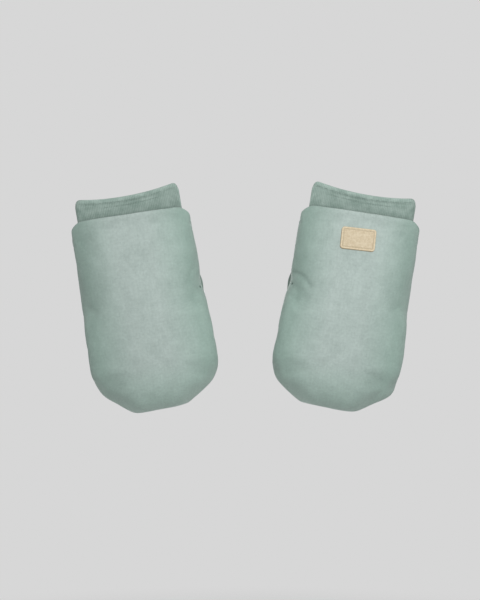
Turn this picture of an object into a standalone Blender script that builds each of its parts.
"""A pair of padded hand muffs for a pushchair handlebar, hung on the bar with their mouths up.

Each muff is a pouch sewn to a taller back panel. Its front opens as a flap above the bar, where a snap
on either side holds it to the back panel, and between the snap and the side seam is the slot that the
handlebar runs through. A panel is three layers, lining, wadding and shell, which lie on one another.

The frame: +X along the handlebar to the right muff, +Y away from the viewer, +Z up, in metres. The
origin is on the handlebar's axis, midway between the muffs. A muff is drawn in its own frame, with its
origin on the bar's axis, +X outward, +Y towards its back panel and +Z to its mouth.
"""

import math
from bisect import bisect_right

import bmesh
import bpy
from mathutils import Vector


def mix(a, b, share):
    return a + (b - a) * share


# The handlebar, which isn't part of the object: a foam-covered bar, straight in the middle
BAR_DIAMETER = 0.033
BAR_CLEARANCE = 0.001
BAR_STRAIGHT_HALF = 0.074
BAR_BEND_RADIUS = 0.180

# How the pair hangs on the bar: the right muff sits a little higher than the left
MUFF_SPACING = 0.228
MUFF_TILT = math.radians(8.5)
HANG_OFFSET = 0.0009

# Lengths up and down a muff, from the bar's axis
MOUTH_HEIGHT = 0.1384
SNAP_HEIGHT = 0.045
FOLD_DROP = 0.012
SEAM_DROP = 0.066
FOOT_DROP = 0.0965
BACK_RISE = 0.024

# Widths and depths. The foot's edge drops towards the outer side, by this much along its width
BAR_HALF_WIDTH = 0.0755
BACK_INSET = 0.004
BACK_TAPER = 0.0055
BACK_OUTWARD = 0.001
HAND_ROOM = 0.0255
FOOT_LIFT = 0.004
FOOT_SLOPE = 0.058
TOP_LEAN = 0.005
MOUTH_LIFT = 0.009
MOUTH_CORNER = 0.010
BACK_CORNER = 0.009
BACK_EDGE_DIP = 0.006
BACK_EDGE_SLOPE = 0.002

# Cloth, and how far apart two layers lie
LINING = 0.0015
SHELL = 0.0008
FRONT_WADDING = 0.006
BACK_WADDING = 0.005
CLOTH_GAP = 0.0003
HEM = 0.006
WADDING_TAPER = 0.016
FOOT_TAPER = 0.010
FOOT_TAPER_START = 0.002
FOLD_GAP = 0.0006
SEAM_GAP = 0.0006

# Snap fasteners
SNAP_DIAMETER = 0.0105
SOCKET_THICKNESS = 0.0020
SOCKET_WALL = 0.0020
SOCKET_FLOOR = 0.0006
STUD_BASE = 0.0009
SNAP_CLEARANCE = 0.0003
CAP_DIAMETER = 0.0105
CAP_THICKNESS = 0.0010
PRONG_DIAMETER = 0.0022
CUT_OVERRUN = 0.002

# Leather patch on the right flap
PATCH_WIDTH = 0.0415
PATCH_HEIGHT = 0.0264
PATCH_THICKNESS = 0.0014
PATCH_CORNER = 0.0025
PATCH_OUTWARD = 0.0048
PATCH_BELOW_MOUTH = 0.0325
PATCH_CLEARANCE = 0.0008
PATCH_TURN = math.radians(2.0)
ARC_PROFILE_SHARE = 0.5

# Facets
ROUND_SIDES = 14
PATCH_COLUMNS = 10
PATCH_ROWS = 6
PATCH_CORNER_STEPS = 3

# The layers of a panel, and the levels that they lie at
EDGE_STACK = LINING + CLOTH_GAP + CLOTH_GAP + SHELL
BAR_REACH = BAR_DIAMETER / 2 + BAR_CLEARANCE
BACK_FACE = BAR_REACH
FULL_DEPTH = BACK_FACE + BAR_DIAMETER / 2 + HAND_ROOM
SLOT_OPENING = BACK_FACE + BAR_REACH
SNAP_STACK = SOCKET_THICKNESS + STUD_BASE + 3 * CLOTH_GAP
SNAP_OPENING = SNAP_STACK + EDGE_STACK

# Heights of the fold, the side seam's top, the foot, the snaps' flange and the slot's widest stretch
FOLD = -FOLD_DROP
SEAM_TOP = -SEAM_DROP
FOOT = -FOOT_DROP
FLANGE_LOW = SNAP_HEIGHT - SNAP_DIAMETER * 0.62
FLANGE_HIGH = SNAP_HEIGHT + SNAP_DIAMETER * 0.62
SLOT_LOW = mix(SEAM_TOP, FOLD, 0.45)
SLOT_HIGH = mix(FOLD, FLANGE_LOW, 0.42)
LOOSE = mix(FLANGE_HIGH, MOUTH_HEIGHT, 0.46)
BACK_TOP = MOUTH_HEIGHT + BACK_RISE

# Half a section of the front panel, from its crown to its edge: shares of the half width and depth
FOOT_SECTION = ((0, 1), (0.50, 0.935), (0.85, 0.665), (1, 0.42), (1, 0.26), (1, 0.13), (1, 0))
SLOT_SECTION = ((0, 1), (0.50, 0.88), (0.85, 0.56), (0.985, 0.28), (1, 0.15), (1, 0.07), (1, 0))
SNAPPED_SECTION = ((0, 1), (0.50, 0.935), (0.85, 0.66), (1, 0.38), (0.98, 0.13), (0.89, 0), (0.69, 0))
MOUTH_SECTION = ((0, 1), (0.50, 0.935), (0.86, 0.69), (1, 0.44), (1, 0.22), (0.96, 0.08), (0.90, 0))

# Stations up a muff: height, section, the edge's distance from the back panel, and as shares of the
# muff's width and depth at the bar the half width, the middle's shift outward and the crown's depth
STATIONS = (
    (FOOT, FOOT_SECTION, SEAM_GAP, 0.395, -0.040, 0.05),
    (mix(FOOT, SEAM_TOP, 0.25), FOOT_SECTION, SEAM_GAP, 0.550, 0.022, 0.55),
    (mix(FOOT, SEAM_TOP, 0.46), FOOT_SECTION, SEAM_GAP, 0.690, 0.030, 0.76),
    (mix(FOOT, SEAM_TOP, 0.72), FOOT_SECTION, SEAM_GAP, 0.832, 0.024, 0.88),
    (SEAM_TOP, FOOT_SECTION, SEAM_GAP, 0.940, 0.014, 0.955),
    (SLOT_LOW, SLOT_SECTION, SLOT_OPENING, 1.028, 0.020, 0.995),
    (FOLD, SLOT_SECTION, SLOT_OPENING, 1.026, 0.030, 1.00),
    (SLOT_HIGH, SLOT_SECTION, SLOT_OPENING, 1.012, 0.037, 1.00),
    (FLANGE_LOW, SNAPPED_SECTION, SNAP_OPENING, 0.986, 0.052, 0.97),
    (FLANGE_HIGH, SNAPPED_SECTION, SNAP_OPENING, 0.979, 0.058, 0.94),
    (LOOSE, MOUTH_SECTION, MOUTH_LIFT, 0.963, 0.066, 0.84),
    (MOUTH_HEIGHT, MOUTH_SECTION, MOUTH_LIFT, 0.957, 0.075, 0.66),
)

# The grid lines of the panels. A front column is a place along the section, from 0 at its crown to 6
HALF_COLUMNS = (0, 0.7, 1.4, 2, 2.5, 3, 3.6, 4.2, 5, 6)
FLANGE_COLUMN = 5
PADDED_SHARE = 0.68
CORNER_SHARE = 0.38
BACK_COLUMN_SHARES = (-1, -0.88, -0.62, -0.32, 0, 0.32, 0.62, 0.88, 1)
FOOT_ROW_SHARES = (0, 0.09, 0.25, 0.46, 0.72)
BACK_ROW_SHARES = (0, 0.07, 0.16, 0.36, 0.57, 0.78)
RISE_ROW_SHARES = (0, 0.35, 0.60, 0.76, 0.90, 1)

COLLECTION = "hand_muffs"
CUTTERS = "cutters"

SAGE_SHELL = (0.400, 0.490, 0.455, 1)
SAGE_LINING = (0.260, 0.350, 0.310, 1)
WADDING_WHITE = (0.80, 0.80, 0.78, 1)
SNAP_GREEN = (0.280, 0.380, 0.340, 1)
PATCH_TAN = (0.650, 0.550, 0.380, 1)


def clear_scene():
    for thing in list(bpy.data.objects):
        bpy.data.objects.remove(thing)


def new_collection(name):
    collection = bpy.data.collections.new(name)
    bpy.context.scene.collection.children.link(collection)


def material(name, colour, roughness):
    made = bpy.data.materials.new(name)
    made.use_nodes = True
    shader = made.node_tree.nodes["Principled BSDF"]
    shader.inputs["Base Color"].default_value = colour
    shader.inputs["Roughness"].default_value = roughness
    shader.inputs["Metallic"].default_value = 0
    return made


def piece(name, mesh, look, parent):
    mesh.materials.append(look)
    made = bpy.data.objects.new(name, mesh)
    bpy.data.collections[COLLECTION].objects.link(made)
    made.parent = parent
    return made


def smooth(share):
    """0 below 0, 1 above 1, and an even rise between."""
    held = min(max(share, 0), 1)
    return held * held * (3 - 2 * held)


def through(knots, values, at):
    """The smooth curve through values at knots, which never overshoots them."""
    steps = [b - a for a, b in zip(knots, knots[1:])]
    slopes = [(b - a) / step for a, b, step in zip(values, values[1:], steps)]
    turns = [slopes[0]]
    for before, after in zip(slopes, slopes[1:]):
        turns.append(2 * before * after / (before + after) if before * after > 0 else 0)
    turns.append(slopes[-1])
    i = min(max(bisect_right(knots, at) - 1, 0), len(steps) - 1)
    t = (at - knots[i]) / steps[i]
    start = (1 + 2 * t) * (1 - t) ** 2 * values[i] + t * (1 - t) ** 2 * turns[i] * steps[i]
    end = t * t * (3 - 2 * t) * values[i + 1] - t * t * (1 - t) * turns[i + 1] * steps[i]
    return start + end


def at_height(height, read):
    """What read gives for a station, carried smoothly to any height."""
    return through([station[0] for station in STATIONS], [read(station) for station in STATIONS], height)


def half_width(height):
    """Half the muff's width over its padded sides."""
    return BAR_HALF_WIDTH * at_height(height, lambda station: station[3])


def middle(height):
    """How far the muff's middle lies outward of its frame."""
    return BAR_HALF_WIDTH * at_height(height, lambda station: station[4])


def back_level(height):
    """Depth of the back panel's lining, which curves forward at the foot and above the snaps."""
    foot = max(SLOT_LOW - height, 0) / (SLOT_LOW - FOOT)
    top = max(height - SNAP_HEIGHT, 0) / (BACK_TOP - SNAP_HEIGHT)
    return BACK_FACE - FOOT_LIFT * foot**2 - TOP_LEAN * top**2


def hem_fullness(to_edge):
    """How full the wadding is at this distance from a panel's edge: there is none in the hem."""
    return smooth((to_edge - HEM + WADDING_TAPER / 4) / WADDING_TAPER)


def pouch_fullness(height):
    """How full the front's wadding is at this height. It runs right into the foot's seam."""
    above_foot = smooth((height - FOOT + FOOT_TAPER_START) / FOOT_TAPER)
    return min(hem_fullness(MOUTH_HEIGHT - height), above_foot)


def foot_drop(height):
    """How steeply the cloth drops outward at this height. Only the foot does."""
    return FOOT_SLOPE * smooth((SEAM_TOP - height) / (SEAM_TOP - FOOT))


def section_share(column, height, which):
    """The width share or the depth share of the front's section at this height."""
    places = range(len(FOOT_SECTION))
    shares = [at_height(height, lambda station: station[1][i][which]) for i in places]
    return through(places, shares, abs(column))


def front_point(column, height):
    """A point of the front lining's inner face. The mouth's edge drops towards its corners."""
    inner = half_width(height) - EDGE_STACK - FRONT_WADDING * pouch_fullness(height)
    sideways = math.copysign(inner * section_share(column, height, 0), column)
    crown = back_level(height) - FULL_DEPTH * at_height(height, lambda station: station[5])
    edge = back_level(height) - at_height(height, lambda station: station[2])
    depth = mix(edge, crown, section_share(column, height, 1))
    near_mouth = smooth((height - LOOSE) / (MOUTH_HEIGHT - LOOSE))
    near_corner = smooth((abs(column) / FLANGE_COLUMN - CORNER_SHARE) / CORNER_SHARE)
    drop = MOUTH_CORNER * near_mouth * near_corner + foot_drop(height) * sideways
    return Vector((middle(height) + sideways, depth, height - drop))


def front_fullness(column, height):
    sideways = smooth((1 - abs(column) / FLANGE_COLUMN) / (1 - PADDED_SHARE))
    return sideways * pouch_fullness(height)


def front_padded(column, height):
    return abs(column) < FLANGE_COLUMN and FOOT < height < MOUTH_HEIGHT


def back_half_width(height):
    taper = max(height - SNAP_HEIGHT, 0) / (MOUTH_HEIGHT - SNAP_HEIGHT)
    return half_width(min(height, MOUTH_HEIGHT)) - BACK_INSET - BACK_TAPER * min(taper, 1)


def back_height(share, row):
    """A back row is a height up to the mouth's level, and a share of the rise above it."""
    below, rise = row
    edge = BACK_TOP + BACK_EDGE_DIP * share**2 - BACK_EDGE_SLOPE * share
    return mix(below, edge, rise)


def back_point(share, row):
    """A point of the back lining's inner face. The panel's two top corners are rounded."""
    height = back_height(share, row)
    from_top = (1 - row[1]) * BACK_RISE
    rounding = 0
    if 0 < row[1] and from_top < BACK_CORNER:
        rounding = BACK_CORNER - math.sqrt(BACK_CORNER**2 - (BACK_CORNER - from_top) ** 2)
    outward = share * (back_half_width(height) - rounding)
    lean = BACK_OUTWARD * smooth((height - LOOSE) / (BACK_TOP - LOOSE))
    across = middle(min(height, MOUTH_HEIGHT)) + lean + outward
    return Vector((across, back_level(height), height - foot_drop(height) * outward))


def back_fullness(share, row):
    height = back_height(share, row)
    to_side = back_half_width(height) * (1 - abs(share))
    to_top = back_height(share, (row[0], 1)) - height
    return hem_fullness(min(to_side, to_top, height - FOOT))


def back_padded(share, row):
    return abs(share) < 1 and FOOT < row[0] and row[1] < 1


def spaced(low, high, shares):
    return [mix(low, high, share) for share in shares]


def evenly(low, high, count):
    return [mix(low, high, i / count) for i in range(count)]


def sheet(columns, rows, point, fullness, padded, side, faces_back):
    """An open grid of triangles, whose faces point out of the muff on the panel's own side.

    Each vertex keeps how full the wadding is there, and whether the wadding reaches it."""
    grid = bmesh.new()
    bmesh.ops.create_grid(grid, x_segments=len(columns) - 1, y_segments=len(rows) - 1, size=1)
    full = grid.verts.layers.float.new("fullness")
    reached = grid.verts.layers.int.new("padded")
    for vertex in grid.verts:
        column = columns[round((vertex.co.x + 1) / 2 * (len(columns) - 1))]
        row = rows[round((vertex.co.y + 1) / 2 * (len(rows) - 1))]
        vertex[full] = fullness(column, row)
        vertex[reached] = int(padded(column, row))
        place = point(column, row)
        vertex.co = Vector((side * place.x, place.y, place.z))
    bmesh.ops.triangulate(grid, faces=grid.faces[:], quad_method="FIXED")
    if (side > 0) == faces_back:
        bmesh.ops.reverse_faces(grid, faces=grid.faces[:])
    grid.normal_update()
    return grid


def raised(grid, start, lift):
    """A copy of the grid moved out by start, and by as much of lift as the wadding is full."""
    copy = grid.copy()
    full = copy.verts.layers.float["fullness"]
    for vertex in copy.verts:
        vertex.co += vertex.normal * (start + lift * vertex[full])
    return copy


def thicken(made, thickness):
    solid = made.modifiers.new("thickness", "SOLIDIFY")
    solid.thickness = thickness
    solid.offset = 1
    return solid


def cloth(name, grid, look, parent):
    mesh = bpy.data.meshes.new(name)
    grid.to_mesh(mesh)
    grid.free()
    mesh.shade_smooth()
    return piece(name, mesh, look, parent)


def cloth_layer(name, grid, thickness, look, parent):
    made = cloth(name, grid, look, parent)
    thicken(made, thickness)
    return made


def wadding_layer(name, grid, thickness, look, parent):
    """The wadding stops short of the hems, and thins out towards them."""
    reached = grid.verts.layers.int["padded"]
    bare = [vertex for vertex in grid.verts if not vertex[reached]]
    bmesh.ops.delete(grid, geom=bare, context="VERTS")
    full = grid.verts.layers.float["fullness"]
    shares = [vertex[full] for vertex in grid.verts]
    made = cloth(name, grid, look, parent)
    group = made.vertex_groups.new(name="fullness")
    for i, share in enumerate(shares):
        group.add([i], share, "REPLACE")
    thicken(made, thickness).vertex_group = group.name
    return made


def panel(name, grid, wadding, looks, frame):
    """The three layers of a panel, from the hand outward."""
    wadding_start = LINING + CLOTH_GAP
    lining_sheet = raised(grid, 0, 0)
    wadding_sheet = raised(grid, wadding_start, 0)
    shell_sheet = raised(grid, wadding_start + CLOTH_GAP, wadding)
    grid.free()
    return {
        "lining": cloth_layer(f"{name}_lining", lining_sheet, LINING, looks["lining"], frame),
        "wadding": wadding_layer(f"{name}_wadding", wadding_sheet, wadding, looks["wadding"], frame),
        "shell": cloth_layer(f"{name}_shell", shell_sheet, SHELL, looks["shell"], frame),
    }


def front_panel(name, rows, side, looks, frame):
    columns = [-column for column in reversed(HALF_COLUMNS[1:])] + list(HALF_COLUMNS)
    grid = sheet(columns, rows, front_point, front_fullness, front_padded, side, False)
    return panel(name, grid, FRONT_WADDING, looks, frame)


def pouch(prefix, side, looks, frame):
    rows = spaced(FOOT, SEAM_TOP, FOOT_ROW_SHARES)
    rows += evenly(SEAM_TOP, SLOT_LOW, 2) + evenly(SLOT_LOW, FOLD, 2) + [FOLD - FOLD_GAP / 2]
    return front_panel(f"{prefix}_pouch", rows, side, looks, frame)


def flap(prefix, side, looks, frame):
    rows = [FOLD + FOLD_GAP / 2, mix(FOLD, SLOT_HIGH, 0.5)]
    rows += evenly(SLOT_HIGH, FLANGE_LOW, 2) + [FLANGE_LOW, SNAP_HEIGHT]
    rows += evenly(FLANGE_HIGH, LOOSE, 2)
    rows += [LOOSE, mix(LOOSE, MOUTH_HEIGHT, 0.5), MOUTH_HEIGHT - WADDING_TAPER * 0.75]
    rows += [MOUTH_HEIGHT - HEM, MOUTH_HEIGHT]
    return front_panel(f"{prefix}_flap", rows, side, looks, frame)


def back(prefix, side, looks, frame):
    heights = spaced(FOOT, SEAM_TOP, FOOT_ROW_SHARES)
    heights += spaced(SEAM_TOP, MOUTH_HEIGHT, BACK_ROW_SHARES)
    rows = [(height, 0) for height in heights] + [(MOUTH_HEIGHT, share) for share in RISE_ROW_SHARES]
    grid = sheet(BACK_COLUMN_SHARES, rows, back_point, back_fullness, back_padded, side, True)
    return panel(f"{prefix}_back", grid, BACK_WADDING, looks, frame)


def turned(name, profile, look, parent, place, faces_back):
    """A profile of radius and height turned about the muff's Y, rising to the back or to the front."""
    mesh = bpy.data.meshes.new(name)
    closed = profile[0][0] > 0
    count = len(profile)
    edges = [(i, (i + 1) % count) for i in range(count if closed else count - 1)]
    mesh.from_pydata([(radius, 0, height) for radius, height in profile], edges, [])
    made = piece(name, mesh, look, parent)
    screw = made.modifiers.new("turn", "SCREW")
    screw.steps = ROUND_SIDES
    screw.render_steps = ROUND_SIDES
    screw.use_merge_vertices = True
    screw.merge_threshold = 0.00001
    screw.use_smooth_shade = False
    made.location = place
    made.rotation_euler = (math.copysign(math.pi / 2, -1 if faces_back else 1), 0, 0)


def socket_profile(hole, recess, rim):
    """A disc with a hole, and a wall round its rim that leaves a recess."""
    recessed = ((hole, SOCKET_FLOOR), (recess, SOCKET_FLOOR), (recess, SOCKET_THICKNESS))
    return recessed + ((rim, SOCKET_THICKNESS), (rim, 0), (hole, 0))


def stud_profile(hole, ring, rim):
    """A disc with a hole, and a ring on it that fills the socket's recess."""
    ring_top = STUD_BASE + SOCKET_THICKNESS - SOCKET_FLOOR - SNAP_CLEARANCE
    raised_ring = ((hole, ring_top), (ring, ring_top), (ring, STUD_BASE))
    return raised_ring + ((rim, STUD_BASE), (rim, 0), (hole, 0))


def cap_profile(prong_length):
    """A low dome with a prong up its middle."""
    prong = PRONG_DIAMETER / 2
    rim = CAP_DIAMETER / 2
    dome = ((rim, 0), (rim, -CAP_THICKNESS / 2), (rim * 0.7, -CAP_THICKNESS), (0, -CAP_THICKNESS))
    return ((0, prong_length), (prong, prong_length), (prong, 0)) + dome


def cut_round(target, name, radius, place, depth):
    """Cuts a round hole along the muff's Y, from place to depth behind it."""
    bpy.ops.mesh.primitive_cylinder_add(vertices=ROUND_SIDES, radius=radius, depth=depth)
    cutter = bpy.context.object
    cutter.name = name
    cutter.users_collection[0].objects.unlink(cutter)
    bpy.data.collections[CUTTERS].objects.link(cutter)
    cutter.parent = target.parent
    cutter.rotation_euler = (math.pi / 2, 0, 0)
    cutter.location = (place[0], place[1] + depth / 2, place[2])
    cutter.hide_render = True
    cutter.display_type = "WIRE"
    boolean = target.modifiers.new(name, "BOOLEAN")
    boolean.operation = "DIFFERENCE"
    boolean.object = cutter


def snap(name, outward_sign, side, look, flap_layers, back_layers):
    """A snap: a cap and a socket on the flap's flange, and a stud and its cap on the back's lining."""
    frame = flap_layers["shell"].parent
    inner = half_width(SNAP_HEIGHT) - EDGE_STACK - FRONT_WADDING
    share = (SNAPPED_SECTION[-1][0] + SNAPPED_SECTION[-2][0]) / 2
    across = side * (middle(SNAP_HEIGHT) + outward_sign * inner * share)
    lining = back_level(SNAP_HEIGHT)
    flange = lining - SNAP_OPENING

    def at(depth):
        return (across, depth, SNAP_HEIGHT)

    hole = PRONG_DIAMETER / 2 + SNAP_CLEARANCE
    rim = SNAP_DIAMETER / 2
    recess = rim - SOCKET_WALL
    socket = socket_profile(hole, recess, rim)
    turned(f"{name}_socket", socket, look, frame, at(flange + EDGE_STACK + CLOTH_GAP), True)
    stud = stud_profile(hole, recess - SNAP_CLEARANCE, rim)
    turned(f"{name}_stud", stud, look, frame, at(lining - CLOTH_GAP), False)

    flange_prong = CLOTH_GAP + EDGE_STACK + CLOTH_GAP + SOCKET_FLOOR
    turned(f"{name}_socket_cap", cap_profile(flange_prong), look, frame, at(flange - CLOTH_GAP), True)
    lining_prong = CLOTH_GAP + LINING + CLOTH_GAP + STUD_BASE
    cap_seat = at(lining + LINING + CLOTH_GAP)
    turned(f"{name}_stud_cap", cap_profile(lining_prong), look, frame, cap_seat, False)

    flange_depth = EDGE_STACK + 2 * CUT_OVERRUN
    for layer in ("lining", "shell"):
        cutter = f"{name}_{layer}_hole"
        cut_round(flap_layers[layer], cutter, hole, at(flange - CUT_OVERRUN), flange_depth)
    lining_depth = LINING + 2 * CUT_OVERRUN
    back_hole = f"{name}_back_hole"
    cut_round(back_layers["lining"], back_hole, hole, at(lining - CUT_OVERRUN), lining_depth)
    pocket = CAP_DIAMETER / 2 + CLOTH_GAP
    pocket_depth = LINING + CLOTH_GAP + CAP_THICKNESS + CLOTH_GAP
    cut_round(back_layers["wadding"], f"{name}_pocket", pocket, at(lining), pocket_depth)


def leather_patch(name, look, shell):
    """A rounded patch that lies on the flap's shell."""
    grid = bmesh.new()
    bmesh.ops.create_grid(grid, x_segments=PATCH_COLUMNS, y_segments=PATCH_ROWS, size=1)
    for vertex in grid.verts:
        vertex.co = (vertex.co.x * PATCH_WIDTH / 2, 0, vertex.co.y * PATCH_HEIGHT / 2)
    corners = [vertex for vertex in grid.verts if len(vertex.link_edges) == 2]
    bmesh.ops.bevel(
        grid,
        geom=corners,
        affect="VERTICES",
        offset=PATCH_CORNER,
        segments=PATCH_CORNER_STEPS,
        profile=ARC_PROFILE_SHARE,
    )
    bmesh.ops.triangulate(grid, faces=grid.faces[:])
    made = cloth(name, grid, look, shell.parent)
    made.location = (PATCH_OUTWARD, -FULL_DEPTH, MOUTH_HEIGHT - PATCH_BELOW_MOUTH)
    made.rotation_euler = (0, -PATCH_TURN, 0)
    lay = made.modifiers.new("lay_on_shell", "SHRINKWRAP")
    lay.target = shell
    lay.wrap_method = "PROJECT"
    lay.wrap_mode = "ABOVE_SURFACE"
    lay.offset = PATCH_CLEARANCE
    lay.use_project_y = True
    lay.use_negative_direction = False
    thicken(made, PATCH_THICKNESS)


def bar_drop(outward):
    """How far the bar's axis has curved down, this far from the middle of the bar."""
    past = max(outward - BAR_STRAIGHT_HALF, 0)
    return BAR_BEND_RADIUS - math.sqrt(BAR_BEND_RADIUS**2 - past**2)


def muff(prefix, side, looks):
    frame = bpy.data.objects.new(f"{prefix}_muff_frame", None)
    bpy.data.collections[COLLECTION].objects.link(frame)
    frame.location = (side * MUFF_SPACING / 2, 0, side * HANG_OFFSET - bar_drop(MUFF_SPACING / 2))
    frame.rotation_euler = (0, side * MUFF_TILT, 0)
    pouch(prefix, side, looks, frame)
    flap_layers = flap(prefix, side, looks, frame)
    back_layers = back(prefix, side, looks, frame)
    for place, outward_sign in (("outer", 1), ("inner", -1)):
        name = f"{prefix}_{place}_snap"
        snap(name, outward_sign, side, looks["snap"], flap_layers, back_layers)
    return flap_layers["shell"]


def main():
    clear_scene()
    new_collection(COLLECTION)
    new_collection(CUTTERS)
    looks = {
        "shell": material("sage_shell_cloth", SAGE_SHELL, 0.8),
        "lining": material("sage_ribbed_lining", SAGE_LINING, 0.95),
        "wadding": material("white_wadding", WADDING_WHITE, 1),
        "snap": material("green_snap_plastic", SNAP_GREEN, 0.45),
        "patch": material("tan_leather", PATCH_TAN, 0.7),
    }
    muff("left", -1, looks)
    right_shell = muff("right", 1, looks)
    leather_patch("right_leather_patch", looks["patch"], right_shell)


main()
